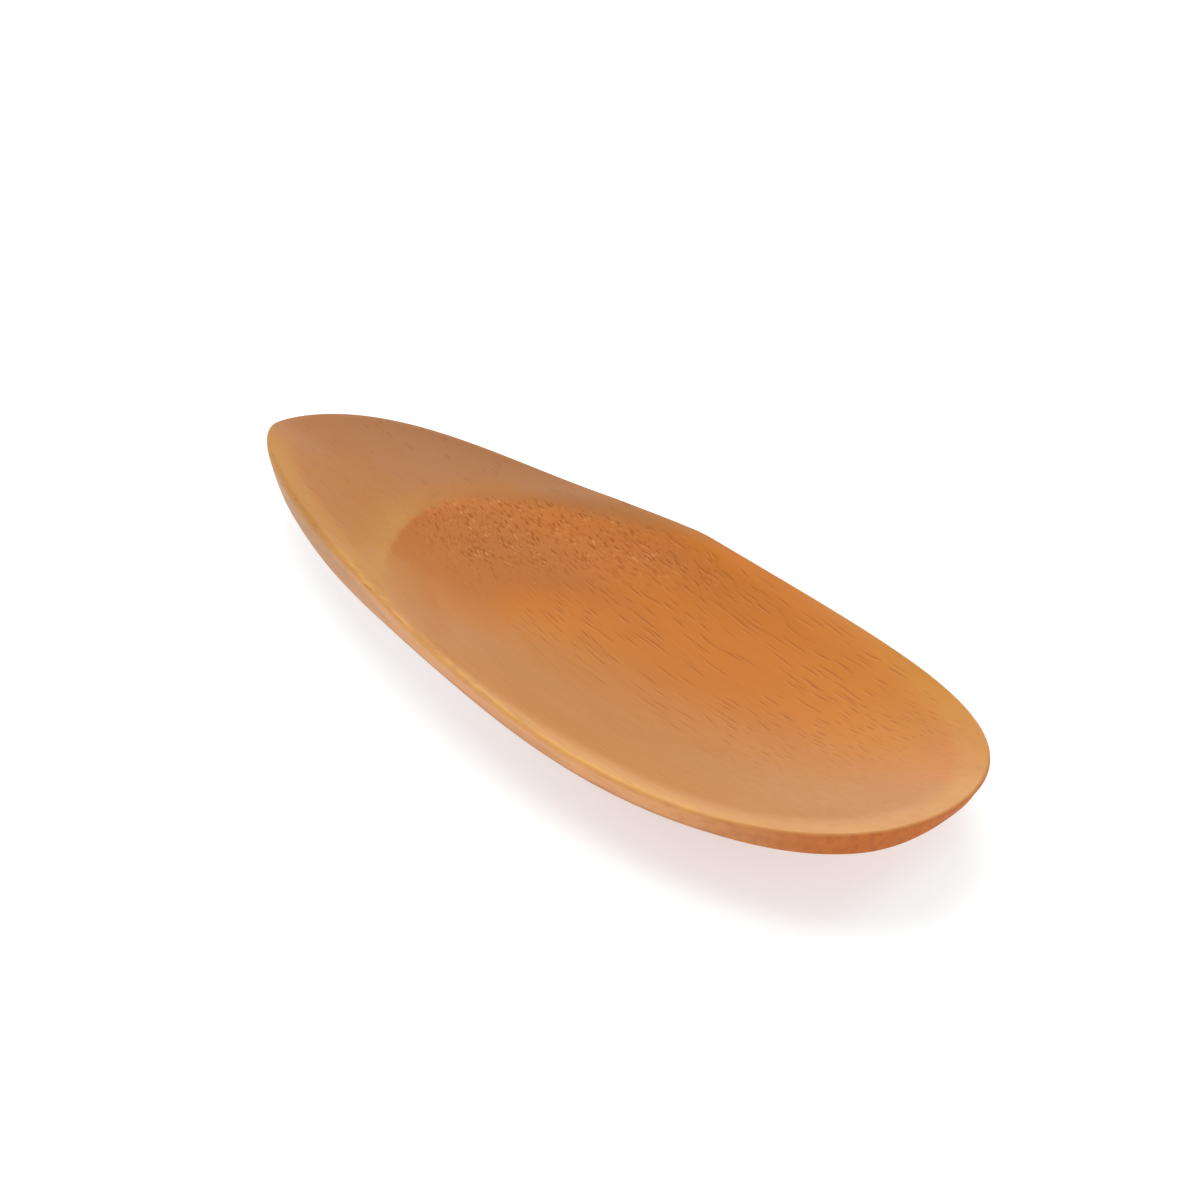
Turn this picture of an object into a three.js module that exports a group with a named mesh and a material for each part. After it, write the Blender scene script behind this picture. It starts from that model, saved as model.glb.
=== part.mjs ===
import * as THREE from "three";

// Leaf-shaped scoop carved from one piece of bamboo.
// Millimetres, +X from the tail to the lip, +Z up, origin on the ground under the middle of the length.

// Overall sizes
const length = 100;
const width = 37.2;

// Outline seen from above: how sharply the two ends close, and how the sides flare towards the lip
const tailSharpness = 0.57;
const lipSharpness = 0.485;
const sideFlare = 0.67;

// Rim heights above the ground: on each side an arc falls from the lip to a low point and rises to the
// level tail. The left side (+Y) has a slight kink where the tail begins and a raised shoulder; the
// right side is eased.
const lipRimHeight = 11.2;
const tailRimHeight = 9.55;
const leftLowRim = 7.9;
const leftLowX = 21.5;
const leftRimBlend = 1.5;
const rightLowRim = 8.3;
const rightLowX = 15.5;
const rightRimBlend = 18;
const shoulderRise = 1.65;
const shoulderReach = 37.5;
const shoulderHollow = 2.8;

// Hollow of the bowl, lowest at floorX
const floorHeight = 2.6;
const floorX = 9;
const floorArcRadius = 105;

// Crease where the bowl breaks into the tail, a U seen from above; its blend and fade into the rim land
// are shares of a section's run
const creaseX = -24.6;
const leftCreaseRadius = 8.8;
const rightCreaseRadius = 10.5;
const creaseBlend = 0.08;
const creaseFade = 0.3;
const creaseDepth = 0.8;
const tailHollow = 0.35;

// Rim land, a narrow share of its width at landStart and whole after landReach. The break between it
// and the bowl is softly rounded; on the crease the break is crisp, and softens on the left over
// creaseSoftening.
const landWidth = 2;
const landDrop = 0.35;
const narrowLand = 0.25;
const landStart = -15;
const landReach = 35;
const softBreak = 0.8;
const crispBreak = 0.08;
const creaseSoftening = 6;

// Depth of the edge face: deeper under the tail and towards the lip, thinner on the left of the lip. It
// eases to its depth at the tip of the lip as the half width falls under lipTaper.
const bowlEdge = 2.6;
const tailSwell = 1.4;
const tailSwellX = -28;
const tailSwellReach = 16;
const lipSwell = 0.4;
const lipSwellX = 31;
const lipSwellReach = 14;
const leftLipThinning = 0.7;
const tipEdge = 2.2;
const tipTaper = 10;
const lipEdge = 1.7;
const lipTaper = 10;

// Lean of the edge face and its rounded corners, each at most a share of the depth
const edgeUndercut = 0.4;
const topCorner = 0.3;
const lowerCorner = 0.5;
const undercutShare = 0.4;
const topCornerShare = 0.3;
const lowerCornerShare = 0.4;

// Underside: a small flat to rest on, then an arc rising to each end, level under the tail
const footX = 3;
const footLength = 18;
const footWidth = 7;
const tailUndersideRadius = 45;
const lipUndersideRadius = 80;
const tailUndersideHeight = 6;
const tailUndersideBlend = 3;
const undersideRoundness = 1.6;

// Middle lines that the cross sections start from, kept clear of the crease and of the ends
const spineClearOfCrease = 8;
const spineClearOfLip = 20;
const undersideClearOfTail = 8;
const undersideClearOfLip = 14;
const spineTail = creaseX + spineClearOfCrease;
const spineLip = length / 2 - spineClearOfLip;
const undersideTail = undersideClearOfTail - length / 2;
const undersideLip = length / 2 - undersideClearOfLip;

// Fineness of the surface
const sectionsPerSide = 48;
const bowlSteps = 14;
const landSteps = 6;
const cornerSteps = 3;
const undersideSteps = 10;

// Half of the width at a share of the length counted from the tail
function outlineShape(share) {
  const ends = Math.pow(share, tailSharpness) * Math.pow(1 - share, lipSharpness);
  return ends * (1 + sideFlare * share);
}
let outlinePeak = 0;
for (let share = 0; share <= 1; share += 0.001) {
  outlinePeak = Math.max(outlinePeak, outlineShape(share));
}
const halfWidth = (share) => ((width / 2) * outlineShape(share)) / outlinePeak;

// The lower of two values, with the corner between them rounded off
function softMin(a, b, blend) {
  const overlap = Math.max(blend - Math.abs(a - b), 0) / blend;
  return Math.min(a, b) - (overlap ** 2 * blend) / 4;
}

const between = (value, low, high) => Math.min(Math.max(value, low), high);

// An eased step from 0 at the start to 1 after the reach
function easedStep(value, start, reach) {
  const share = between((value - start) / reach, 0, 1);
  return share ** 2 * (3 - 2 * share);
}

// Height of the rim before the tail's shoulder is added
function rimLine(x, side) {
  const low = Math.min(side > 0 ? leftLowRim : rightLowRim, tailRimHeight);
  const lowX = side > 0 ? leftLowX : rightLowX;
  const blend = side > 0 ? leftRimBlend : rightRimBlend;
  const radius = (length / 2 - lowX) ** 2 / (2 * (lipRimHeight - low));
  const arcRun = Math.sqrt(2 * radius * (tailRimHeight - low));
  return low + softMin(lowX - x, arcRun, blend) ** 2 / (2 * radius);
}

// Extra height of the tail's left shoulder, highest a third of the way along its reach, where the curve
// without its factor of 6.75 would be 1 / 6.75
function shoulder(x, side) {
  const share = between((x + length / 2) / shoulderReach, 0, 1);
  return side > 0 ? shoulderRise * 6.75 * share * (1 - share) ** 2 : 0;
}

// Depth of the edge face
function edgeDepth(x, side) {
  const toLip = easedStep(x, lipSwellX, lipSwellReach);
  const underTail = tailSwell * Math.exp(-(((x - tailSwellX) / tailSwellReach) ** 2));
  const whole = bowlEdge + underTail + lipSwell * toLip;
  const sideEdge = side > 0 ? whole * (1 - leftLipThinning * toLip) : whole;
  const fromLip = x > 0 ? easedStep(halfWidth(x / length + 0.5), 0, lipTaper) : 1;
  const frontEdge = lipEdge + (sideEdge - lipEdge) * fromLip;
  return tipEdge + (frontEdge - tipEdge) * between((x + length / 2) / tipTaper, 0, 1);
}

// Height and slope of the bowl's floor along the middle line
function floorLine(x) {
  return [floorHeight + (x - floorX) ** 2 / (2 * floorArcRadius), (x - floorX) / floorArcRadius];
}

// Height of the underside along the middle line
function undersideLine(x) {
  const past = Math.max(Math.abs(x - footX) - footLength / 2, 0);
  if (x > footX) return past ** 2 / (2 * lipUndersideRadius);
  return softMin(past ** 2 / (2 * tailUndersideRadius), tailUndersideHeight, tailUndersideBlend);
}

// One half section from the middle of the bowl over the rim to the middle of the underside
function section(turn, side) {
  const share = (1 - Math.cos(turn)) / 2;
  const outX = length * (share - 0.5);
  const outY = halfWidth(share);
  const startX = spineTail + (spineLip - spineTail) * share;
  const runX = outX - startX;
  const run = Math.hypot(runX, outY);
  const points = [];
  const add = (reach, height) => points.push([startX + runX * reach, side * outY * reach, height]);

  // Where this section crosses the crease, or the inner edge of the rim land
  const creaseRadius = side > 0 ? leftCreaseRadius : rightCreaseRadius;
  const bend = outY ** 2 / (2 * creaseRadius);
  const ahead = startX - creaseX;
  const atCrease = (2 * ahead) / (-runX + Math.sqrt(runX ** 2 + 4 * bend * ahead));
  const landShare = between((outX - landStart) / landReach, narrowLand, 1);
  const atLand = 1 - (landWidth * landShare) / run;
  const bowlReach = softMin(atCrease, atLand, creaseBlend);
  const tailShare = between((atLand - bowlReach) / creaseFade, 0, 1);

  // Heights of the rim line and of the break, and how much the break is rounded
  const line = rimLine(outX, side);
  const drop = landDrop * landShare;
  const inner = line - drop - (creaseDepth - drop) * tailShare;
  const softened = side > 0 ? between((outY * bowlReach) / creaseSoftening, 0, 1) : 0;
  const creaseBreak = crispBreak + (softBreak - crispBreak) * softened;
  const landBreak = softBreak * landShare;
  const breakBlend = landBreak + (creaseBreak - landBreak) * tailShare;

  // Depth of the edge face and sizes of its corners
  const edge = edgeDepth(outX, side);
  const topRound = Math.min(topCorner, topCornerShare * edge);
  const lowRound = Math.min(lowerCorner, lowerCornerShare * edge);
  const undercut = Math.min(edgeUndercut, undercutShare * edge);
  const landEnd = 1 - topRound / run;

  // Height of the upper surface at a reach: the bowl, then the rim land, which widens into the tail
  const [floor, floorSlope] = floorLine(startX);
  const bowlRise = inner - floor - floorSlope * runX * bowlReach;
  function upperHeight(reach) {
    const bowl = floor + floorSlope * runX * reach + bowlRise * (reach / bowlReach) ** 2;
    const out = Math.max((reach - bowlReach) / (landEnd - bowlReach), -1);
    const past = Math.max(out, 0);
    const land = inner + (line - inner) * ((1 - tailHollow) * out + tailHollow * past ** 2);
    return softMin(bowl, land + shoulder(outX, side) * past ** shoulderHollow, breakBlend);
  }
  for (let i = 0; i <= bowlSteps; i++) {
    const reach = (bowlReach * i) / bowlSteps;
    add(reach, upperHeight(reach));
  }
  for (let i = 1; i <= landSteps; i++) {
    const reach = bowlReach + ((landEnd - bowlReach) * i) / landSteps;
    add(reach, upperHeight(reach));
  }

  // Rounded top corner, edge face leaning in, rounded lower corner
  const rim = upperHeight(landEnd);
  for (let i = 1; i <= cornerSteps; i++) {
    const angle = (Math.PI / 2) * (i / cornerSteps);
    add(1 - (topRound * (1 - Math.sin(angle))) / run, rim - topRound * (1 - Math.cos(angle)));
  }
  for (let i = 0; i <= cornerSteps; i++) {
    const angle = (Math.PI / 2) * (i / cornerSteps);
    const inward = undercut + lowRound * (1 - Math.cos(angle));
    add(1 - inward / run, rim - edge + lowRound * (1 - Math.sin(angle)));
  }

  // Underside
  const [endX, endY, endHeight] = points[points.length - 1];
  const underX = undersideTail + (undersideLip - undersideTail) * share;
  const under = undersideLine(underX);
  const underSlope = (undersideLine(underX + 0.01) - under) / 0.01;
  const underRise = endHeight - under - underSlope * (endX - underX);
  const flat = footWidth / width;
  for (let i = undersideSteps - 1; i >= 0; i--) {
    const out = i / undersideSteps;
    const bulge = Math.max(out - flat, 0) / (1 - flat);
    const x = underX + (endX - underX) * out;
    const rise = underSlope * (x - underX) + underRise * bulge ** undersideRoundness;
    points.push([x, endY * out, under + rise]);
  }
  return points;
}

// Sections from tail to lip on one side and back on the other, joined into a closed surface
function scoopGeometry() {
  const rows = [];
  for (let i = 0; i < sectionsPerSide; i++) rows.push(section((Math.PI * i) / sectionsPerSide, 1));
  for (let i = sectionsPerSide; i > 0; i--) rows.push(section((Math.PI * i) / sectionsPerSide, -1));
  const positions = [];
  const addTriangle = (a, b, c) => positions.push(...a, ...b, ...c);
  rows.forEach((row, i) => {
    const next = rows[(i + 1) % rows.length];
    for (let j = 0; j + 1 < row.length; j++) {
      addTriangle(row[j], next[j + 1], row[j + 1]);
      addTriangle(row[j], next[j], next[j + 1]);
    }
  });
  const geometry = new THREE.BufferGeometry();
  geometry.setAttribute("position", new THREE.Float32BufferAttribute(positions, 3));
  return geometry;
}

const bamboo = new THREE.MeshStandardMaterial({ color: 0xc07a3e, roughness: 0.45, metalness: 0 });
const scoop = new THREE.Mesh(scoopGeometry(), bamboo);
scoop.name = "scoop";

const part = new THREE.Group();
part.name = "bamboo_scoop";
part.add(scoop);

export default part;
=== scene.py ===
import math

import bpy
import numpy as np
from mathutils import Matrix, Vector


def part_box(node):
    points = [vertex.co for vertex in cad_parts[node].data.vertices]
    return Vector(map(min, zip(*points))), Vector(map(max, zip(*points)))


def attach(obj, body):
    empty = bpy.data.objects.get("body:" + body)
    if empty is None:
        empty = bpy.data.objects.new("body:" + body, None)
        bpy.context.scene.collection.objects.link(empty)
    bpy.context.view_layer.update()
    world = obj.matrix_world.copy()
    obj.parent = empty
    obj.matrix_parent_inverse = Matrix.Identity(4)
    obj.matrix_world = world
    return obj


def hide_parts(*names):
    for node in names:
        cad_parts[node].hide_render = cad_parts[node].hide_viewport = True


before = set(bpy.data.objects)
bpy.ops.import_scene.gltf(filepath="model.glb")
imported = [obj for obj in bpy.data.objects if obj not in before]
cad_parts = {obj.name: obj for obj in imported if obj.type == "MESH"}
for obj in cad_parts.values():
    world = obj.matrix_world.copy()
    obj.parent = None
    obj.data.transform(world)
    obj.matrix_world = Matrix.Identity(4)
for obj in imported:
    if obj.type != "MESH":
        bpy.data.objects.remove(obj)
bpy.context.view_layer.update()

# Leaf-shaped scoop carved from one piece of bamboo: the solid model's form, apart from one worn corner, with
# a finer surface, carved fibre bundles and a material. Sizes are in millimetres in the solid model's frame:
# +X from the tail to the lip, +Y to the left, which is the far side in the photo, and +Z up.
MM = 0.001

# Overall sizes
low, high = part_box("scoop")
length = (high.x - low.x) / MM
width = (high.y - low.y) / MM

# Outline seen from above: how sharply the two ends close, and how the sides flare towards the lip
tail_sharpness = 0.57
lip_sharpness = 0.485
side_flare = 0.67
outline_samples = 1001

# Rim heights above the ground: on each side an arc falls from the lip to a low point and rises to the level
# tail. The left side has a slight kink where the tail begins and a raised shoulder; the right side is eased.
lip_rim_height = 11.2
tail_rim_height = 9.55
left_low_rim = 7.9
left_low_x = 21.5
left_rim_blend = 1.5
right_low_rim = 8.3
right_low_x = 15.5
right_rim_blend = 18.0
shoulder_rise = 1.65
shoulder_reach = 37.5
shoulder_hollow = 2.8
shoulder_factor = 27 / 4

# Hollow of the bowl, lowest at floor_x
floor_height = 2.6
floor_x = 9.0
floor_arc_radius = 105.0

# Crease where the bowl breaks into the tail, a U seen from above; its blend and fade into the rim land are
# shares of a section's run
crease_x = -24.6
left_crease_radius = 8.8
right_crease_radius = 10.5
crease_blend = 0.08
crease_fade = 0.3
crease_depth = 0.8
tail_hollow = 0.35

# Rim land, a narrow share of its width at land_start and whole after land_reach. The break between it and
# the bowl is softly rounded; on the crease it is crisp, and softens on the left over crease_softening.
land_width = 2.0
land_drop = 0.35
narrow_land = 0.25
land_start = -15.0
land_reach = 35.0
soft_break = 0.8
crisp_break = 0.08
crease_softening = 6.0

# Depth of the edge face: deeper under the tail and towards the lip, thinner on the left of the lip. It eases
# to lip_edge as the half width falls under lip_taper, and to tip_edge over the last tip_taper of the tail.
bowl_edge = 2.6
tail_swell = 1.4
tail_swell_x = -28.0
tail_swell_reach = 16.0
lip_swell = 0.4
lip_swell_x = 31.0
lip_swell_reach = 14.0
left_lip_thinning = 0.7
tip_edge = 2.2
tip_taper = 10.0
lip_edge = 1.7
lip_taper = 10.0

# Lean of the edge face and its rounded corners, each at most a share of the depth
edge_undercut = 0.4
top_corner = 0.3
lower_corner = 0.5
undercut_share = 0.4
top_corner_share = 0.3
lower_corner_share = 0.4

# Underside: a small flat to rest on, then an arc rising to each end, level under the tail
foot_x = 3.0
foot_length = 18.0
foot_width = 7.0
tail_underside_radius = 45.0
lip_underside_radius = 80.0
tail_underside_height = 6.0
tail_underside_blend = 3.0
underside_roundness = 1.6

# Middle lines that the sections start from, kept clear of the crease and of the ends
spine_clear_of_crease = 8
spine_clear_of_lip = 20
underside_clear_of_tail = 8
underside_clear_of_lip = 14
spine_tail = crease_x + spine_clear_of_crease
spine_lip = length / 2 - spine_clear_of_lip
underside_tail = underside_clear_of_tail - length / 2
underside_lip = length / 2 - underside_clear_of_lip

# Fineness of the surface, the steps that slopes are measured over, the outline's as a share of the length,
# and the least number to divide by
sections_per_side = 285
bowl_steps = 92
land_steps = 26
top_steps = 6
edge_steps = 8
low_steps = 5
underside_steps = 26
outline_step = 1e-3
underside_step = 0.01
least_divisor = 1e-9

# Zones of the surface that the material tells apart. Each is a share from 0 to 1 at every point.
zone_names = (
    "bowl", "slope", "pale_sheen", "land", "gold", "grey_sheen", "corner", "edge",
    "end", "under", "pits", "streaks", "amber", "sunny", "face_light", "rosy_shade",
)

# Below, a span is the pair of places where a share is 0 and where it is 1. Spans are along x or y, or count
# from the crease or inwards from the rim, as the names or the code say.

# The near top corner is worn rounder along the tail than in the solid model, fading out towards the tip
worn_corner = 0.9
worn_span = (-16, -32)
unworn_tip_span = (-50, -42)

# Colour line between tail and bowl: it bulges into the tail, is ragged on the near side, and leaves the
# crease and blurs towards the far side. A wave is its height, its rate per millimetre and its shift.
line_bend = 0.033
line_bend_y = 7
line_bulge = 0.9
line_bulge_y = 4
line_bulge_reach = 3
ragged_waves = ((0.16, 2.6, 0), (0.12, 6.1, 1))
ragged_span = (7, 2)
line_blur = 0.5
far_blur = 1.1
far_blur_span = (-1, 6)
farther_blur_y = 6
farther_blur_run = 16
near_sharpening = 0.2
near_sharpening_span = (0, -6)

# Painted highlight on the land along the rim, broader towards the lip and duller towards the tail, a painted
# highlight on the far side's arris, and painted light at the far end of the crease, where the hollow is
# shaded
far_land = 3.4
far_land_growth = 0.9
near_land = 4.6
near_land_growth = 0.4
land_growth_span = (30, 45)
whole_land = 1.2
far_highlight_span = (30, 42)
near_highlight_span = (-5, 19)
near_dullness = 0.9
arris_highlight = 0.5
arris_reach = 0.9
arris_span = (8, 24)
crease_end_painted_light = 0.25
crease_end_x_span = (-16, -7)
crease_end_y_span = (11.5, 14.5)

# Painted sheen that makes the near side and lip paler, and sunny far side of the lip
near_span = (7, -7)
near_shift = 7
near_shift_span = (5, -20)
lip_span = (12, 46)
lip_paleness = 0.05
near_lip_paleness = 0.55
near_lip_span = (7, -1)
sunny_y_span = (0, 9)
sunny_x_span = (16, 36)
sunny_off_land = 0.45

# Redder slope under the crease, part end grain and part painted shade: its main part, and a short part on
# the near side
slope_start = 0.4
slope_start_span = (0, 7)
slope_run = 18
far_slope_run = 2
far_slope_run_span = (-2, 6)
slope_fade = 8
slope_lean = 3
slope_lean_span = (7, 14)
slope_near_span = (-11, -3)
slope_far_span = (10, 5)
short_slope_span = (9, 4)
short_slope_near_span = (-15, -8)
short_slope_far_span = (3, -3)

# Pits where the slope cuts across the fibres, and streaks where the floor runs along them
few_pits = 0.1
pits_start_span = (-0.5, 1.0)
pits_span = (16, 6)
pits_near_span = (-6, 1)
pits_far_span = (17, 14)
streaks_span = (-14, -4)
near_smoothness = 0.9
near_smooth_span = (1, -8)
lip_smoothness = 0.85
lip_smooth_span = (22, 40)
far_streaks_run = 7
far_streaks_span = (1, 7)
far_bare_rim_span = (2.2, 0.6)

# Tail: gold beside the crease and, as painted light, along the near rim; painted grey sheen on the far side;
# amber above the pits
gold_reach = 3.5
gold_far_span = (6, -1)
gold_rim_span = (5.5, 2.5)
gold_near_span = (1, -3)
bowl_gold = 0.6
bowl_gold_y_span = (-5, -11)
bowl_gold_x_span = (-8, -20)
grey_span = (-3, 7)
grey_shift = 4
grey_shift_span = (-36, -46)
amber_reach = 3
amber_near_span = (-3, 2)
amber_far_span = (13, 9)

# Edge. On the near side it has a golden line on the corner, partly wear and partly painted highlight, gold
# places by the tail, rosy painted shade low on the face by the tail and painted light on the face by the
# bowl; on the far side its colour is weaker. It shows end grain where the outline closes on the lip: that
# span is of the sine of the outline's angle to the length.
end_grain_span = (0.1, 0.65)
golden_span = (-34, -14)
golden_reach = 0.9
golden_face_reach = 0.6
golden_fade = 0.6
golden_face = 0.4
golden_face_light = 0.6
tailward_span = (-12, -28)
tailward_corner_fade = 0.7
tailward_face_fade = 0.8
upper_face_reach = 2.3
face_light_start_span = (-24, -4)
face_light_end_span = (40, 26)
rosy_span = (-20, -36)
far_edge_fade = 0.4

# The fibres run this many degrees off the scoop's length, seen from above
grain_turn = -7.0

# Fibre bundles: how far apart and how long they are, and how near the middle of one, in shares of the
# distance apart, it is whole and where it ends. A shift is how far along, across and up to look.
# Bundles wander sideways with a noise. A noise is its rates along, across and up, and its detail.
fine_pits = dict(apart=0.22, reach=1.2, whole=0.12, gone=0.4)
coarse_pits = dict(apart=0.34, reach=1.9, whole=0.14, gone=0.42)
long_streaks = dict(apart=0.34, reach=8.0, whole=0.06, gone=0.43)
fine_glints = dict(apart=0.22, reach=1.2, whole=0.06, gone=0.26, shift=(-0.28, 0.0, 0.14))
coarse_glints = dict(apart=0.34, reach=1.9, whole=0.06, gone=0.3, shift=(-0.42, 0.0, 0.22))
streak_ridges = dict(long_streaks, shift=(0.0, 0.15, 0.1))
tail_flecks = dict(apart=0.5, reach=4.0, whole=0.1, gone=0.34)
fine_pit_share = 0.6
bundle_height_rate = 0.6
wander_noise = ((0.12, 0.4, 0.4), 2.0)
wander_middle = (0.5, 0.5, 0.5)
wander_width = (0.0, 1.1, 1.1)
pit_depth = 0.03
streak_depth = 0.015

# Colours of the bamboo. A tint is a zone or a mark, how far it goes there and its colour. Tints are laid on
# in the order given.
floor_colour = (0.56, 0.172, 0.010)
# The near colour is painted sheen that pales the near side and lip.
near_sheen_colour = (0.47, 0.19, 0.038)
tail_colour = (0.405, 0.148, 0.017)
bowl_tints = (
    # Slope is partly end grain and partly painted shade on a slope facing away from the light.
    ("slope", 0.8, (0.435, 0.130, 0.009)),
    # The pits zone is also paler and bluer: painted sheen.
    ("pits", 0.28, (0.47, 0.165, 0.05)),
)
zone_tints = (
    # Grey is painted sheen on the far side of the tail.
    ("grey_sheen", 1.0, (0.385, 0.165, 0.06)),
    # Gold is painted light along the near rim of the tail, elsewhere a yellower tone.
    ("gold", 0.8, (0.47, 0.21, 0.028)),
    ("amber", 0.75, (0.43, 0.15, 0.012)),
    # Land is a painted highlight on the rim land and far arris, and painted light at the far end of the
    # crease.
    ("land", 1.0, (0.60, 0.27, 0.07)),
    ("sunny", 0.9, (0.53, 0.207, 0.009)),
    ("edge", 1.0, (0.60, 0.265, 0.085)),
    ("under", 1.0, (0.46, 0.16, 0.035)),
    # Blotch is painted light on the near edge face by the bowl.
    ("face_light", 1.0, (0.75, 0.335, 0.115)),
    # Rosy is painted shade low on the near edge face by the tail.
    ("rosy_shade", 1.0, (0.39, 0.178, 0.062)),
)
mark_tints = (
    # The golden line is partly wear and partly painted highlight on the near corner.
    ("golden", 0.6, (0.72, 0.36, 0.05)),
    ("end_grain", 1.0, (0.585, 0.157, 0.017)),
    ("dark_ends", 0.4, (0.40, 0.085, 0.012)),
    ("broad", 0.2, (0.42, 0.125, 0.02)),
    ("fibres", 0.05, (0.36, 0.10, 0.018)),
    ("flecks", 0.35, (0.27, 0.09, 0.02)),
    ("lines", 0.22, (0.33, 0.10, 0.016)),
    ("streaks", 0.7, (0.36, 0.085, 0.004)),
    ("ridges", 0.15, (0.72, 0.33, 0.08)),
    ("pits", 0.65, (0.33, 0.075, 0.004)),
    # Pale ends are painted glints beside the pits.
    ("pale_ends", 0.5, (0.78, 0.42, 0.16)),
)

# Noises of the marks, and the ranges of them, or of the pits zone, over which a mark goes from nothing to
# whole. A range of four also gives the first and last value.
broad_noise = ((0.04, 0.22, 0.22), 2.0)
broad_range = (0.35, 0.7)
fibre_noise = ((0.12, 2.2, 2.2), 3.0)
fibre_range = (0.4, 0.75)
patch_noise = ((0.5, 0.5, 0.5), 1.0)
patch_range = (0.42, 0.56)
mottle_noise = ((0.4, 1.8, 0.7), 2.0)
golden_range = (0.4, 0.58, 0.2, 1.0)
dark_ends_range = (0.44, 0.64)
line_noise = ((0.05, 1.4, 1.4), 3.0)
line_range = (0.45, 0.65)
painted_glints_range = (0.4, 1.0)

# Finish: roughness over a range of the fibre noise, more in the pits and on end grain, and a bump whose
# heights are shares of its depth
roughness_range = (0.3, 0.7, 0.42, 0.5)
pit_roughness = 0.2
end_grain_roughness = 0.25
bump_depth = 0.05
fibre_bump = 0.15
pit_bump = 0.6
streak_bump = 0.3

# Camera of the photograph: its angles in degrees, its lens, how far it is from the point it aims at, and how
# far right and up in the picture that point is from the origin
camera_azimuth = 43.9
camera_elevation = 36.16
camera_sensor = 36
camera_lens = 73.85
camera_distance = 265
camera_clip_start = 10
aim_right = 1.9
aim_up = 7.36

# Floor. As seen, a part of its brightness is a glow, so that its shadow stays light and warm. The glow is
# stronger by the tail and past the lip, where the shadow in the photo is fainter.
floor_half_size = 450
floor_white = (0.97, 0.93, 0.92)
faint_shaded = (0.38, 0.455, 0.445)
faint_glow = (0.72, 0.695, 0.705)
deep_shaded = (0.45, 0.61, 0.62)
deep_glow = (0.65, 0.54, 0.53)
deep_shadow_span = (-20, 32)
past_lip_span = (42, 49)

# Lights: a dome, brighter by the horizon, and two lamps with their places, sizes and powers in watts
dome_heights = (0.25, 0.85)
dome_levels = (1.0, 0.4)
key_place = (-150, 100, 550)
key_size = (500, 500)
key_power = 2.3
back_place = (-345, 360, 140)
back_size = (700, 250)
back_power = 0.45


def soft_min(a, b, blend):
    """The lower of two values, with the corner between them rounded off."""
    overlap = np.maximum(blend - np.abs(a - b), 0) / blend
    return np.minimum(a, b) - overlap**2 * blend / 4


def smooth(value, start, end):
    """An eased step from 0 at the start to 1 at the end, whichever of them is the larger."""
    share = np.clip((value - start) / (end - start), 0, 1)
    return share**2 * (3 - 2 * share)


def bell(value, reach):
    """1 where the value is 0, fading to nothing beyond the reach on both sides."""
    return np.exp(-((value / reach) ** 2))


def outline_shape(share):
    return share**tail_sharpness * (1 - share) ** lip_sharpness * (1 + side_flare * share)


def half_width(share):
    peak = outline_shape(np.linspace(0, 1, outline_samples)).max()
    return width / 2 * outline_shape(share) / peak


def rim_line(x, side):
    """Height of the rim before the tail's shoulder is added."""
    low_rim, low_x, blend = right_low_rim, right_low_x, right_rim_blend
    if side > 0:
        low_rim, low_x, blend = left_low_rim, left_low_x, left_rim_blend
    radius = (length / 2 - low_x) ** 2 / (2 * (lip_rim_height - low_rim))
    run = math.sqrt(2 * radius * (tail_rim_height - low_rim))
    return low_rim + soft_min(low_x - x, run, blend) ** 2 / (2 * radius)


def shoulder(x, side):
    """Extra height of the tail's left shoulder, highest a third of the way along its reach. The factor makes
    the curve 1 there."""
    share = np.clip((x + length / 2) / shoulder_reach, 0, 1)
    return shoulder_rise * shoulder_factor * share * (1 - share) ** 2 if side > 0 else 0 * x


def edge_depth(x, side):
    swell = tail_swell * bell(x - tail_swell_x, tail_swell_reach)
    to_lip = smooth(x, lip_swell_x, lip_swell_x + lip_swell_reach)
    depth = bowl_edge + swell + lip_swell * to_lip
    if side > 0:
        depth = depth * (1 - left_lip_thinning * to_lip)
    from_lip = np.where(x > 0, smooth(half_width(x / length + 0.5), 0, lip_taper), 1)
    depth = lip_edge + (depth - lip_edge) * from_lip
    return tip_edge + (depth - tip_edge) * np.clip((x + length / 2) / tip_taper, 0, 1)


def underside_line(x):
    """Height of the underside along the middle line."""
    past = np.maximum(np.abs(x - foot_x) - foot_length / 2, 0)
    tail = soft_min(past**2 / (2 * tail_underside_radius), tail_underside_height, tail_underside_blend)
    return np.where(x > foot_x, past**2 / (2 * lip_underside_radius), tail)


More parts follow.
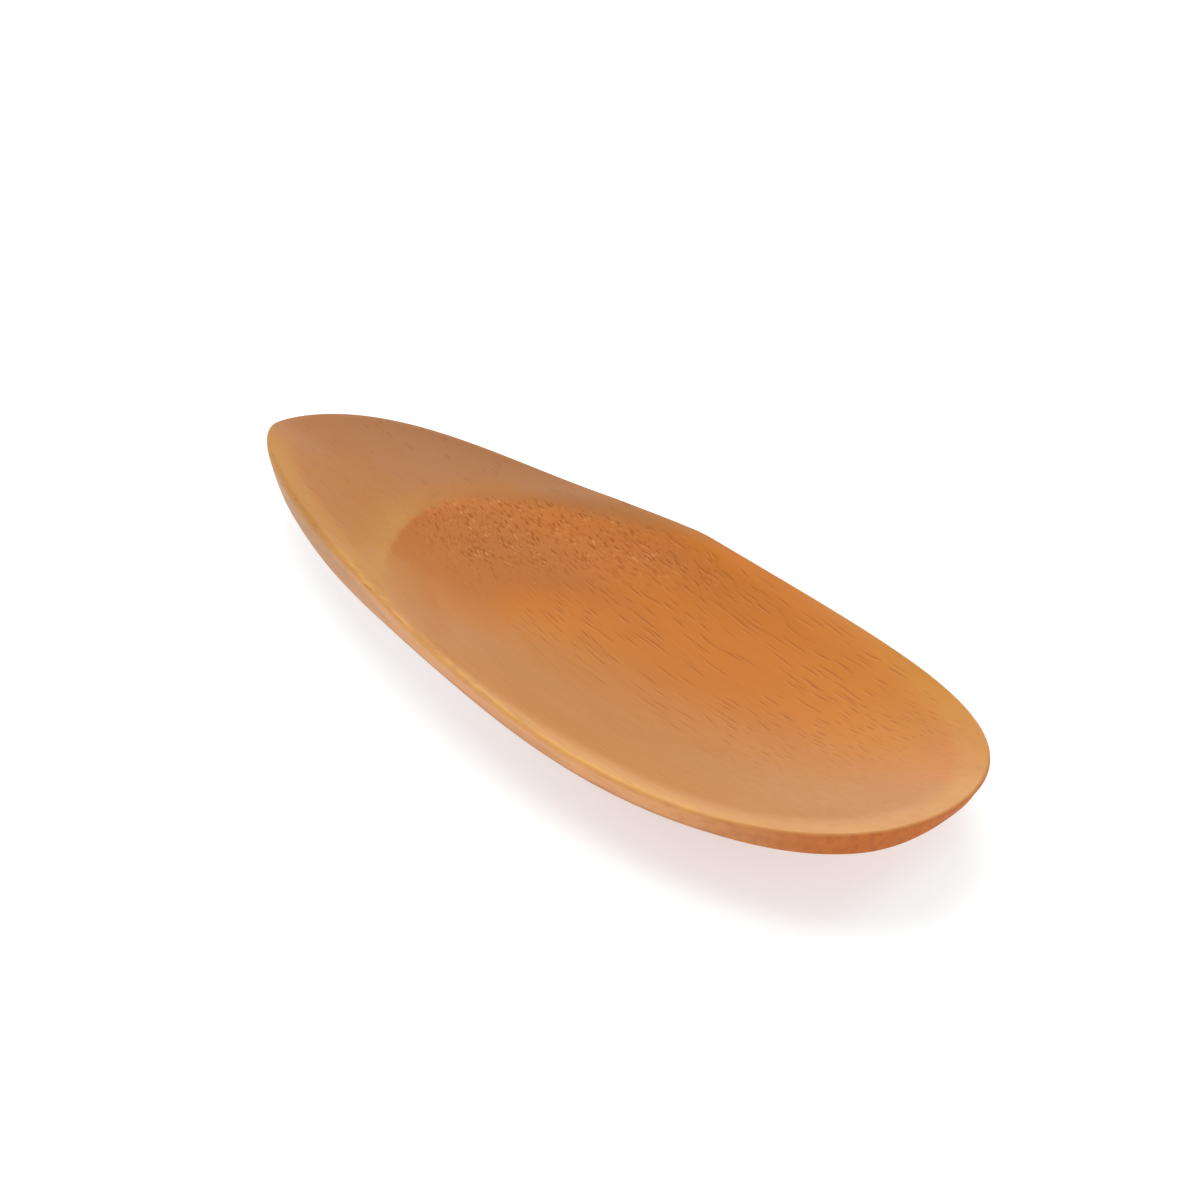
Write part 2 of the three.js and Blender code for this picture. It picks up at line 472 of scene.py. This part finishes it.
class HalfScoop:
    """One side of the scoop, the left where side is 1 and the right where it is -1, as sections. Each
    section is a row of points from the middle line of the bowl over the rim to the middle line of the
    underside, with the share of each zone at each point. A reach is a share of the way out to the rim."""

    def __init__(self, turn, side):
        self.side = side
        self.points = []
        self.zones = []
        self.share = (1 - np.cos(turn)) / 2
        self.out_x = length * (self.share - 0.5)
        self.out_y = half_width(self.share)
        self.start_x = spine_tail + (spine_lip - spine_tail) * self.share
        self.run_x = self.out_x - self.start_x
        self.run = np.hypot(self.run_x, self.out_y)
        self.measure_break()
        self.measure_edge()
        self.measure_bowl()
        self.measure_edge_zones()
        self.add_upper_surface()
        self.add_top_corner()
        self.add_edge_face()
        self.add_lower_corner()
        self.add_underside()

    def measure_break(self):
        """Where the bowl ends, at the crease or at the rim land, and its height and rounding there."""
        self.crease_radius = left_crease_radius if self.side > 0 else right_crease_radius
        bend = self.out_y**2 / (2 * self.crease_radius)
        ahead = self.start_x - crease_x
        root = np.sqrt(self.run_x**2 + 4 * bend * ahead)
        at_crease = 2 * ahead / np.maximum(root - self.run_x, least_divisor)
        wide = np.clip((self.out_x - land_start) / land_reach, narrow_land, 1)
        at_land = 1 - land_width * wide / self.run
        self.bowl_reach = soft_min(at_crease, at_land, crease_blend)
        tail_share = np.clip((at_land - self.bowl_reach) / crease_fade, 0, 1)
        self.line = rim_line(self.out_x, self.side)
        self.inner = self.line - land_drop * wide - (crease_depth - land_drop * wide) * tail_share
        soft = np.clip(self.out_y * self.bowl_reach / crease_softening, 0, 1) if self.side > 0 else 0.0
        crease_break = crisp_break + (soft_break - crisp_break) * soft
        self.blend = soft_break * wide + (crease_break - soft_break * wide) * tail_share

    def measure_edge(self):
        """Depth of the edge face, its lean and the sizes of its corners."""
        self.edge = edge_depth(self.out_x, self.side)
        worn = smooth(self.out_x, *worn_span) * smooth(self.out_x, *unworn_tip_span) * (self.side < 0)
        rounded = top_corner + (worn_corner - top_corner) * worn
        self.top = np.minimum(rounded, top_corner_share * self.edge)
        self.lower = np.minimum(lower_corner, lower_corner_share * self.edge)
        self.land_end = 1 - self.top / self.run
        self.low_reach = 1 - np.minimum(edge_undercut, undercut_share * self.edge) / self.run

    def measure_bowl(self):
        floor_slope = (self.start_x - floor_x) / floor_arc_radius
        self.floor = floor_height + (self.start_x - floor_x) ** 2 / (2 * floor_arc_radius)
        self.slope_rise = floor_slope * self.run_x * self.bowl_reach
        self.wall_rise = self.inner - self.floor - self.slope_rise
        self.rise_on_tail = shoulder(self.out_x, self.side)
        self.rim = self.upper_height(self.land_end)

    def upper_height(self, reach):
        """Height of the upper surface: the bowl, then the rim land, which widens into the tail."""
        out = reach / self.bowl_reach
        bowl = self.floor + self.slope_rise * out + self.wall_rise * out**2
        out = np.maximum((reach - self.bowl_reach) / (self.land_end - self.bowl_reach), -1)
        past = np.maximum(out, 0)
        rise = (1 - tail_hollow) * out + tail_hollow * past**2
        land = self.inner + (self.line - self.inner) * rise + self.rise_on_tail * past**shoulder_hollow
        return soft_min(bowl, land, self.blend)

    def measure_edge_zones(self):
        """Zones of the edge that change only along the scoop."""
        after = half_width(np.clip(self.share + outline_step, 0, 1))
        before = half_width(np.clip(self.share - outline_step, 0, 1))
        lean = (after - before) / (2 * outline_step * length)
        self.end = smooth(-lean / np.hypot(1, lean), *end_grain_span)
        self.edge_share = 1 - far_edge_fade * (1 - self.end) * (self.side > 0)
        near = self.side < 0
        self.golden = smooth(self.out_x, *golden_span) * near
        self.tailward = smooth(self.out_x, *tailward_span) * near
        # Blotch: painted light on the near edge face by the bowl.
        self.face_light = smooth(self.out_x, *face_light_start_span) * smooth(self.out_x, *face_light_end_span) * near
        # Rosy: painted shade on the lower edge face by the tail.
        self.rosy_shade = smooth(self.out_x, *rosy_span) * near

    def place(self, reach):
        return self.start_x + self.run_x * reach, self.side * self.out_y * reach

    def add(self, x, y, height, **shares):
        self.points.append(np.stack([x, y, height], -1))
        self.zones.append(np.stack([shares.get(name, 0.0) + 0 * x for name in zone_names], -1))

    def add_upper_surface(self):
        bowl_shares = np.linspace(0, 1, bowl_steps + 1)
        land_shares = np.linspace(0, 1, land_steps + 1)[1:]
        reaches = [self.bowl_reach * out for out in bowl_shares]
        reaches += [self.bowl_reach + (self.land_end - self.bowl_reach) * out for out in land_shares]
        for reach in reaches:
            self.add(*self.place(reach), self.upper_height(reach), **self.upper_zones(reach))

    def upper_zones(self, reach):
        x, y = self.place(reach)
        inward = (1 - reach) * self.run
        from_crease, past_line = self.crease_distances(x, y)
        tail = self.tail_zone(y, past_line)
        on_land, land_highlight = self.land_zones(x, inward, tail)
        arris = arris_highlight * bell(inward, arris_reach) * smooth(x, *arris_span) * (self.side > 0)
        crease_end = smooth(x, *crease_end_x_span) * smooth(y, *crease_end_y_span)
        pits, streaks = self.grain_zones(x, y, from_crease)
        bare_rim = smooth(inward, *far_bare_rim_span) if self.side > 0 else on_land
        grey_y = y + grey_shift * smooth(x, *grey_shift_span)
        amber = bell(past_line, amber_reach) * smooth(y, *amber_near_span) * smooth(y, *amber_far_span)
        sunny = smooth(y, *sunny_y_span) * smooth(x, *sunny_x_span)
        return dict(
            bowl=1 - tail,
            slope=self.slope_zone(y, from_crease) * (1 - tail),
            # Pale: painted sheen on the near side and lip.
            pale_sheen=self.pale_sheen_zone(x, y),
            # Land: painted highlight, and painted light at the far end of the crease, where the hollow is
            # shaded.
            land=np.maximum(land_highlight, arris) + crease_end_painted_light * tail * crease_end,
            sunny=sunny * (sunny_off_land + (1 - sunny_off_land) * on_land),
            gold=self.gold_zone(x, y, inward, from_crease, tail),
            # The grey zone is painted sheen on the tail's far side.
            grey_sheen=tail * smooth(grey_y, *grey_span),
            amber=amber * tail,
            corner=bell(inward - self.top, golden_reach) * self.golden,
            end=self.end,
            pits=pits * smooth(past_line, *pits_start_span),
            streaks=streaks * (1 - tail) * (1 - bare_rim),
        )

    def crease_distances(self, x, y):
        """How far a place is past the crease, and past the colour line by it."""
        slant = np.hypot(1, y / self.crease_radius)
        from_crease = (x - crease_x - y**2 / (2 * self.crease_radius)) / slant
        bend = line_bend * np.maximum(y - line_bend_y, 0) ** 2
        bulge = line_bulge * bell(y - line_bulge_y, line_bulge_reach)
        ragged = sum(height * np.sin(rate * y + shift) for height, rate, shift in ragged_waves)
        return from_crease, from_crease - bend + bulge + ragged * smooth(y, *ragged_span)

    def tail_zone(self, y, past_line):
        blur = line_blur + far_blur * smooth(y, *far_blur_span)
        blur = blur + np.maximum(y - farther_blur_y, 0) / farther_blur_run
        blur = blur - near_sharpening * smooth(y, *near_sharpening_span)
        return smooth(past_line / blur, 1, -1)

    def land_zones(self, x, inward, tail):
        """The rolled land along the rim, and how much of it carries a painted highlight."""
        growth = smooth(x, *land_growth_span)
        if self.side > 0:
            wide = far_land + far_land_growth * growth
            highlight = smooth(x, *far_highlight_span)
        else:
            wide = near_land + near_land_growth * growth
            highlight = 1 - near_dullness * (1 - smooth(x, *near_highlight_span))
        on_land = smooth(inward, wide, whole_land) * (1 - tail)
        return on_land, on_land * highlight

    # Painted sheen that makes the near side and lip paler.
    def pale_sheen_zone(self, x, y):
        near = smooth(y + near_shift * smooth(x, *near_shift_span), *near_span)
        at_lip = smooth(x, *lip_span) * (lip_paleness + near_lip_paleness * smooth(y, *near_lip_span))
        return 1 - (1 - near) * (1 - at_lip)

    # Part of the slope's darkening is painted shade on a slope facing away from the light.
    def slope_zone(self, y, from_crease):
        stop = slope_run + far_slope_run * smooth(y, *far_slope_run_span)
        near_y = y - slope_lean * smooth(from_crease, *slope_lean_span)
        slope = slope_start + (1 - slope_start) * smooth(from_crease, *slope_start_span)
        slope = slope * smooth(from_crease, stop, stop - slope_fade)
        slope = slope * smooth(near_y, *slope_near_span) * smooth(y, *slope_far_span)
        short = smooth(from_crease, *short_slope_span)
        short = short * smooth(y, *short_slope_near_span) * smooth(y, *short_slope_far_span)
        return np.maximum(slope, short)

    def grain_zones(self, x, y, from_crease):
        pits = few_pits + (1 - few_pits) * smooth(y, *pits_near_span)
        pits = pits * smooth(from_crease, *pits_span) * smooth(y, *pits_far_span)
        lip_x = x - far_streaks_run * smooth(y, *far_streaks_span)
        streaks = smooth(x, *streaks_span) * (1 - near_smoothness * smooth(y, *near_smooth_span))
        return pits, streaks * (1 - lip_smoothness * smooth(lip_x, *lip_smooth_span))

    # Gold along the near rim of the tail is painted light.
    def gold_zone(self, x, y, inward, from_crease, tail):
        by_crease = bell(from_crease, gold_reach) * smooth(y, *gold_far_span)
        by_rim = smooth(inward, *gold_rim_span) * smooth(y, *gold_near_span)
        in_bowl = bowl_gold * smooth(y, *bowl_gold_y_span) * smooth(x, *bowl_gold_x_span)
        return tail * np.maximum(by_crease, by_rim) + (1 - tail) * in_bowl

    def add_top_corner(self):
        """Rounded corner, whose zones go from those of the upper surface to those of the edge face."""
        shares = self.upper_zones(self.land_end)
        shares["gold"] = np.maximum(shares["gold"], self.tailward)
        for angle in np.linspace(0, math.pi / 2, top_steps + 1)[1:]:
            turned = math.sin(angle) ** 2
            shares["corner"] = (1 - golden_fade * turned) * self.golden
            shares["edge"] = turned * self.edge_share * (1 - tailward_corner_fade * self.tailward)
            shares["face_light"] = math.sin(angle) * np.maximum(self.face_light, golden_face_light * self.golden)
            reach = 1 - self.top / self.run * (1 - math.sin(angle))
            self.add(*self.place(reach), self.rim - self.top * (1 - math.cos(angle)), **shares)

    def add_edge_face(self):
        """Edge face, leaning in towards its lower corner."""
        for out in np.linspace(0, 1, edge_steps + 1)[1:-1]:
            drop = self.top + (self.edge - self.lower - self.top) * out
            upper_face = bell(drop - self.top, upper_face_reach)
            golden = bell(drop - self.top, golden_face_reach) * self.golden
            shares = dict(
                corner=golden_face * golden,
                edge=self.edge_share * (1 - tailward_face_fade * self.tailward * upper_face),
                end=self.end,
                gold=self.tailward,
                face_light=np.maximum(self.face_light, golden_face_light * golden),
                rosy_shade=self.rosy_shade * (1 - upper_face),
            )
            self.add(*self.place(1 + (self.low_reach - 1) * out), self.rim - drop, **shares)

    def add_lower_corner(self):
        """Rounded corner between the edge face and the underside."""
        for angle in np.linspace(0, math.pi / 2, low_steps + 1):
            turned = 1 - math.cos(angle)
            reach = self.low_reach - self.lower / self.run * turned
            height = self.rim - self.edge + self.lower * (1 - math.sin(angle))
            shares = dict(edge=self.edge_share * (1 - turned), end=self.end, under=turned)
            self.add(*self.place(reach), height, **shares)

    def add_underside(self):
        rim_x, rim_y, rim_height = self.points[-1].T
        under_x = underside_tail + (underside_lip - underside_tail) * self.share
        under = underside_line(under_x)
        under_slope = (underside_line(under_x + underside_step) - under) / underside_step
        under_rise = rim_height - under - under_slope * (rim_x - under_x)
        flat = foot_width / width
        for out in np.linspace(1, 0, underside_steps + 1)[1:]:
            bulge = max(out - flat, 0) / (1 - flat)
            x = under_x + (rim_x - under_x) * out
            height = under + under_slope * (x - under_x) + under_rise * bulge**underside_roundness
            self.add(x, rim_y * out, np.maximum(height, 0), under=1)


def joined_sections():
    """Points, zones and faces of the whole surface. Sections run from tail to lip on the left and back on
    the right, and both sides share the points on the middle lines."""
    count = sections_per_side
    turn = np.pi * np.arange(count + 1) / count
    halves = HalfScoop(turn[:count], 1), HalfScoop(turn[count:0:-1], -1)
    points = np.concatenate([np.stack(half.points, 1) for half in halves])
    zones = np.concatenate([np.stack(half.zones, 1) for half in halves])
    rows, steps = points.shape[:2]
    index = np.arange(rows * steps).reshape(rows, steps)
    for middle in (0, steps - 1):
        index[count + 1 :, middle] = index[count - 1 : 0 : -1, middle]
    following = np.roll(index, -1, axis=0)
    corners = [index[:, :-1], following[:, :-1], following[:, 1:], index[:, 1:]]
    used, faces = np.unique(np.stack(corners, -1).reshape(-1, 4), return_inverse=True)
    return points.reshape(-1, 3)[used], zones.reshape(-1, len(zone_names))[used], faces.reshape(-1, 4)


def scoop_mesh():
    points, zones, faces = joined_sections()
    mesh = bpy.data.meshes.new("bamboo_scoop")
    mesh.from_pydata((points * MM).tolist(), [], faces.tolist())
    mesh.polygons.foreach_set("use_smooth", np.ones(len(faces), bool))
    for name, shares in zip(zone_names, zones.T.astype(np.float32)):
        mesh.attributes.new(name, "FLOAT", "POINT").data.foreach_set("value", shares)
    turned = math.radians(grain_turn)
    along = points[:, 0] * math.cos(turned) + points[:, 1] * math.sin(turned)
    across = points[:, 1] * math.cos(turned) - points[:, 0] * math.sin(turned)
    place = np.stack([along, across, points[:, 2]], -1).astype(np.float32)
    mesh.attributes.new("grain", "FLOAT_VECTOR", "POINT").data.foreach_set("vector", place.ravel())
    mesh.update()
    return mesh


class Sheet:
    """Short ways to add nodes to a node tree. A value is a socket, a number or a row of numbers."""

    def __init__(self, tree):
        self.tree = tree

    def node(self, kind, **settings):
        made = self.tree.nodes.new(kind)
        for name, value in settings.items():
            setattr(made, name, value)
        return made

    def feed(self, socket, value):
        if isinstance(value, bpy.types.NodeSocket):
            self.tree.links.new(value, socket)
        else:
            socket.default_value = value

    def colour(self, socket, value):
        self.feed(socket, (*value, 1) if isinstance(value, tuple) else value)

    def math(self, operation, a, b):
        made = self.node("ShaderNodeMath", operation=operation)
        self.feed(made.inputs[0], a)
        self.feed(made.inputs[1], b)
        return made.outputs[0]

    def times(self, a, b):
        return self.math("MULTIPLY", a, b)

    def vector(self, operation, a, b):
        made = self.node("ShaderNodeVectorMath", operation=operation)
        self.feed(made.inputs[0], a)
        self.feed(made.inputs[1], b)
        return made.outputs[0]

    def ramp(self, value, start, end, low=0.0, high=1.0):
        made = self.node("ShaderNodeMapRange", interpolation_type="SMOOTHSTEP")
        self.feed(made.inputs["Value"], value)
        made.inputs["From Min"].default_value = start
        made.inputs["From Max"].default_value = end
        made.inputs["To Min"].default_value = low
        made.inputs["To Max"].default_value = high
        return made.outputs[0]

    def noise(self, at, rate, detail):
        made = self.node("ShaderNodeTexNoise")
        self.feed(made.inputs["Vector"], self.vector("MULTIPLY", at, rate))
        made.inputs["Scale"].default_value = 1.0
        made.inputs["Detail"].default_value = detail
        return made

    def cells(self, at, rate):
        made = self.node("ShaderNodeTexVoronoi")
        self.feed(made.inputs["Vector"], self.vector("MULTIPLY", at, rate))
        made.inputs["Scale"].default_value = 1.0
        return made

    def mix(self, share, a, b):
        made = self.node("ShaderNodeMix", data_type="RGBA")
        share_in, a_in, b_in, colour_out = made.inputs[0], made.inputs[6], made.inputs[7], made.outputs[2]
        self.feed(share_in, share)
        self.colour(a_in, a)
        self.colour(b_in, b)
        return colour_out

    def tint(self, colour, share, amount, shade):
        return self.mix(self.times(share, amount), colour, shade)


def fibre_bundles(sheet, grain, apart, reach, whole, gone, shift=(0.0, 0.0, 0.0)):
    """How much a place lies in a cut fibre bundle, 0 to 1."""
    wander = sheet.noise(grain, *wander_noise).outputs["Color"]
    wander = sheet.vector("MULTIPLY", sheet.vector("SUBTRACT", wander, wander_middle), wander_width)
    place = sheet.vector("ADD", sheet.vector("ADD", grain, wander), shift)
    cells = sheet.cells(place, (1 / reach, 1 / apart, bundle_height_rate / apart))
    return sheet.ramp(cells.outputs["Distance"], gone, whole)


def grain_marks(sheet, grain, pits, streaks):
    """Small pits where the cut crosses the fibres and streaks where it runs along them."""
    fine = sheet.times(fibre_bundles(sheet, grain, **fine_pits), fine_pit_share)
    coarse = fibre_bundles(sheet, grain, **coarse_pits)
    small = sheet.times(pits, sheet.math("MAXIMUM", fine, coarse))
    long = sheet.times(streaks, fibre_bundles(sheet, grain, **long_streaks))
    return small, long


def carve_grain(scoop):
    """Sinks the pits and streaks into the mesh, along its normals."""
    tree = bpy.data.node_groups.new("grain", "GeometryNodeTree")
    tree.interface.new_socket("Geometry", in_out="INPUT", socket_type="NodeSocketGeometry")
    tree.interface.new_socket("Geometry", in_out="OUTPUT", socket_type="NodeSocketGeometry")
    sheet = Sheet(tree)

    def attribute(name, kind):
        made = sheet.node("GeometryNodeInputNamedAttribute", data_type=kind)
        made.inputs["Name"].default_value = name
        return made.outputs[0]

    pits, streaks = attribute("pits", "FLOAT"), attribute("streaks", "FLOAT")
    small, long = grain_marks(sheet, attribute("grain", "FLOAT_VECTOR"), pits, streaks)
    depth = sheet.math("ADD", sheet.times(small, -pit_depth * MM), sheet.times(long, -streak_depth * MM))
    offset = sheet.node("ShaderNodeVectorMath", operation="SCALE")
    sheet.feed(offset.inputs[0], sheet.node("GeometryNodeInputNormal").outputs[0])
    sheet.feed(offset.inputs["Scale"], depth)
    move = sheet.node("GeometryNodeSetPosition")
    sheet.feed(move.inputs["Geometry"], sheet.node("NodeGroupInput").outputs[0])
    sheet.feed(move.inputs["Offset"], offset.outputs[0])
    sheet.feed(sheet.node("NodeGroupOutput").inputs[0], move.outputs[0])
    modifier = scoop.modifiers.new("grain", "NODES")
    modifier.node_group = tree
    carved = bpy.data.meshes.new_from_object(scoop.evaluated_get(bpy.context.evaluated_depsgraph_get()))
    scoop.modifiers.clear()
    scoop.data = carved


def edge_marks(sheet, grain, zone):
    """The golden line on the near corner, and the end grain at the lip with its dark mottle."""
    mottle = sheet.noise(grain, *mottle_noise).outputs["Fac"]
    # The golden line is partly wear and partly painted highlight.
    golden = sheet.times(zone["corner"], sheet.math("SUBTRACT", 1.0, zone["end"]))
    end_grain = sheet.times(zone["edge"], zone["end"])
    return dict(
        golden=sheet.times(golden, sheet.ramp(mottle, *golden_range)),
        end_grain=end_grain,
        dark_ends=sheet.times(end_grain, sheet.ramp(mottle, *dark_ends_range)),
    )


def surface_marks(sheet, grain, zone, fibres, patches):
    """Broad and fine changes along the grain, flecks on the tail, and lines on the edge and underside."""
    broad = sheet.noise(grain, *broad_noise).outputs["Fac"]
    lines = sheet.noise(grain, *line_noise).outputs["Fac"]
    flecks = sheet.times(fibre_bundles(sheet, grain, **tail_flecks), patches)
    outside = sheet.math("MAXIMUM", zone["edge"], zone["under"])
    on_tail = sheet.math("SUBTRACT", 1.0, sheet.math("MAXIMUM", zone["bowl"], outside))
    return dict(
        broad=sheet.ramp(broad, *broad_range),
        fibres=sheet.ramp(fibres, *fibre_range),
        flecks=sheet.times(flecks, on_tail),
        lines=sheet.times(sheet.ramp(lines, *line_range), outside),
    )


def bundle_marks(sheet, grain, zone, patches):
    """The pits and streaks, with light ridges beside the streaks and painted glints beside some of the pits.
    """
    small, long = grain_marks(sheet, grain, zone["pits"], zone["streaks"])
    ridges = fibre_bundles(sheet, grain, **streak_ridges)
    # Painted glints: pale highlights beside some of the pits.
    glints = fibre_bundles(sheet, grain, **coarse_glints)
    glints = sheet.math("MAXIMUM", glints, fibre_bundles(sheet, grain, **fine_glints))
    some = sheet.times(sheet.ramp(zone["pits"], *painted_glints_range), patches)
    return dict(
        streaks=long,
        ridges=sheet.times(ridges, zone["streaks"]),
        pits=small,
        pale_ends=sheet.times(glints, some),
    )


def bamboo_colour(sheet, zone, marks):
    colour = sheet.mix(zone["pale_sheen"], floor_colour, near_sheen_colour)
    for name, amount, shade in bowl_tints:
        colour = sheet.tint(colour, zone[name], amount, shade)
    colour = sheet.mix(zone["bowl"], tail_colour, colour)
    for name, amount, shade in zone_tints:
        colour = sheet.tint(colour, zone[name], amount, shade)
    for name, amount, shade in mark_tints:
        colour = sheet.tint(colour, marks[name], amount, shade)
    return colour


def bamboo_material():
    material = bpy.data.materials.new("bamboo")
    material.use_nodes = True
    sheet = Sheet(material.node_tree)
    shader = material.node_tree.nodes["Principled BSDF"]

    def attribute(name):
        return sheet.node("ShaderNodeAttribute", attribute_name=name)

    grain = attribute("grain").outputs["Vector"]
    zone = {name: attribute(name).outputs["Fac"] for name in zone_names}
    fibres = sheet.noise(grain, *fibre_noise).outputs["Fac"]
    patches = sheet.ramp(sheet.noise(grain, *patch_noise).outputs["Fac"], *patch_range)
    marks = edge_marks(sheet, grain, zone)
    marks.update(surface_marks(sheet, grain, zone, fibres, patches))
    marks.update(bundle_marks(sheet, grain, zone, patches))
    sheet.feed(shader.inputs["Base Color"], bamboo_colour(sheet, zone, marks))

    rough = sheet.ramp(fibres, *roughness_range)
    rough = sheet.math("ADD", rough, sheet.times(marks["pits"], pit_roughness))
    rough = sheet.math("ADD", rough, sheet.times(marks["end_grain"], end_grain_roughness))
    sheet.feed(shader.inputs["Roughness"], rough)

    bump = sheet.node("ShaderNodeBump")
    bump.inputs["Distance"].default_value = bump_depth * MM
    pits, streaks = sheet.times(marks["pits"], pit_bump), sheet.times(marks["streaks"], streak_bump)
    sunk = sheet.math("ADD", pits, streaks)
    sheet.feed(bump.inputs["Height"], sheet.math("SUBTRACT", sheet.times(fibres, fibre_bump), sunk))
    sheet.feed(shader.inputs["Normal"], bump.outputs["Normal"])
    return material


def add_object(name, data):
    made = bpy.data.objects.new(name, data)
    bpy.context.scene.collection.objects.link(made)
    return made


def photo_camera():
    azimuth, elevation = math.radians(camera_azimuth), math.radians(camera_elevation)
    outward = Vector((math.sin(azimuth), -math.cos(azimuth), 0))
    back = outward * math.cos(elevation) + Vector((0, 0, math.sin(elevation)))
    right = Vector((math.cos(azimuth), math.sin(azimuth), 0))
    up = back.cross(right)
    lens = bpy.data.cameras.new("camera")
    lens.sensor_width = camera_sensor
    lens.lens = camera_lens
    lens.clip_start = camera_clip_start * MM
    camera = add_object("camera", lens)
    place = (right * aim_right + up * aim_up + back * camera_distance) * MM
    camera.matrix_world = Matrix.Translation(place) @ Matrix((right, up, back)).transposed().to_4x4()
    bpy.context.scene.camera = camera


def floor_material():
    material = bpy.data.materials.new("floor")
    material.use_nodes = True
    material.node_tree.nodes.clear()
    sheet = Sheet(material.node_tree)
    path = sheet.node("ShaderNodeLightPath")
    seen = sheet.math("MAXIMUM", path.outputs["Is Camera Ray"], path.outputs["Is Glossy Ray"])
    seen = sheet.math("MAXIMUM", seen, path.outputs["Is Transmission Ray"])
    plain = sheet.node("ShaderNodeBsdfDiffuse")
    sheet.colour(plain.inputs["Color"], floor_white)

    place = sheet.node("ShaderNodeSeparateXYZ")
    sheet.feed(place.inputs[0], sheet.node("ShaderNodeNewGeometry").outputs["Position"])
    start, end = deep_shadow_span
    deep = sheet.ramp(place.outputs["X"], start * MM, end * MM)
    start, end = past_lip_span
    deep = sheet.times(deep, sheet.ramp(place.outputs["X"], start * MM, end * MM, 1.0, 0.0))
    shaded = sheet.node("ShaderNodeBsdfDiffuse")
    sheet.colour(shaded.inputs["Color"], sheet.mix(deep, faint_shaded, deep_shaded))
    glow = sheet.node("ShaderNodeEmission")
    sheet.colour(glow.inputs["Color"], sheet.mix(deep, faint_glow, deep_glow))
    glowing = sheet.node("ShaderNodeAddShader")
    sheet.feed(glowing.inputs[0], shaded.outputs[0])
    sheet.feed(glowing.inputs[1], glow.outputs[0])
    both = sheet.node("ShaderNodeMixShader")
    sheet.feed(both.inputs[0], seen)
    sheet.feed(both.inputs[1], plain.outputs[0])
    sheet.feed(both.inputs[2], glowing.outputs[0])
    sheet.feed(sheet.node("ShaderNodeOutputMaterial").inputs[0], both.outputs[0])
    return material


def white_floor():
    mesh = bpy.data.meshes.new("floor")
    far = floor_half_size * MM
    mesh.from_pydata([(-far, -far, 0), (far, -far, 0), (far, far, 0), (-far, far, 0)], [], [(0, 1, 2, 3)])
    mesh.materials.append(floor_material())
    floor = add_object("floor", mesh)


def dome():
    world = bpy.data.worlds.new("studio")
    world.use_nodes = True
    sheet = Sheet(world.node_tree)
    background = world.node_tree.nodes["Background"]
    direction = sheet.node("ShaderNodeSeparateXYZ")
    sheet.feed(direction.inputs[0], sheet.node("ShaderNodeTexCoord").outputs["Generated"])
    level = sheet.ramp(direction.outputs["Z"], *dome_heights, *dome_levels)
    sheet.feed(background.inputs["Strength"], level)
    background.inputs["Color"].default_value = (1, 1, 1, 1)
    bpy.context.scene.world = world


def lamp(name, shape, place, size, power):
    """An area lamp that faces the origin."""
    light = bpy.data.lights.new(name, "AREA")
    light.shape = shape
    light.size, light.size_y = (side * MM for side in size)
    light.energy = power
    holder = add_object(name, light)
    place = Vector(place) * MM
    holder.matrix_world = Matrix.Translation(place) @ place.to_track_quat("Z", "Y").to_matrix().to_4x4()
    return holder


scoop = add_object("bamboo_scoop", scoop_mesh())
carve_grain(scoop)
scoop.data.materials.clear()
scoop.data.materials.append(bamboo_material())
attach(scoop, "root")
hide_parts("scoop")

photo_camera()
white_floor()
dome()
key = lamp("key", "DISK", key_place, key_size, key_power)
key.visible_glossy = False
lamp("behind", "RECTANGLE", back_place, back_size, back_power)
bpy.context.scene.view_settings.view_transform = "Standard"
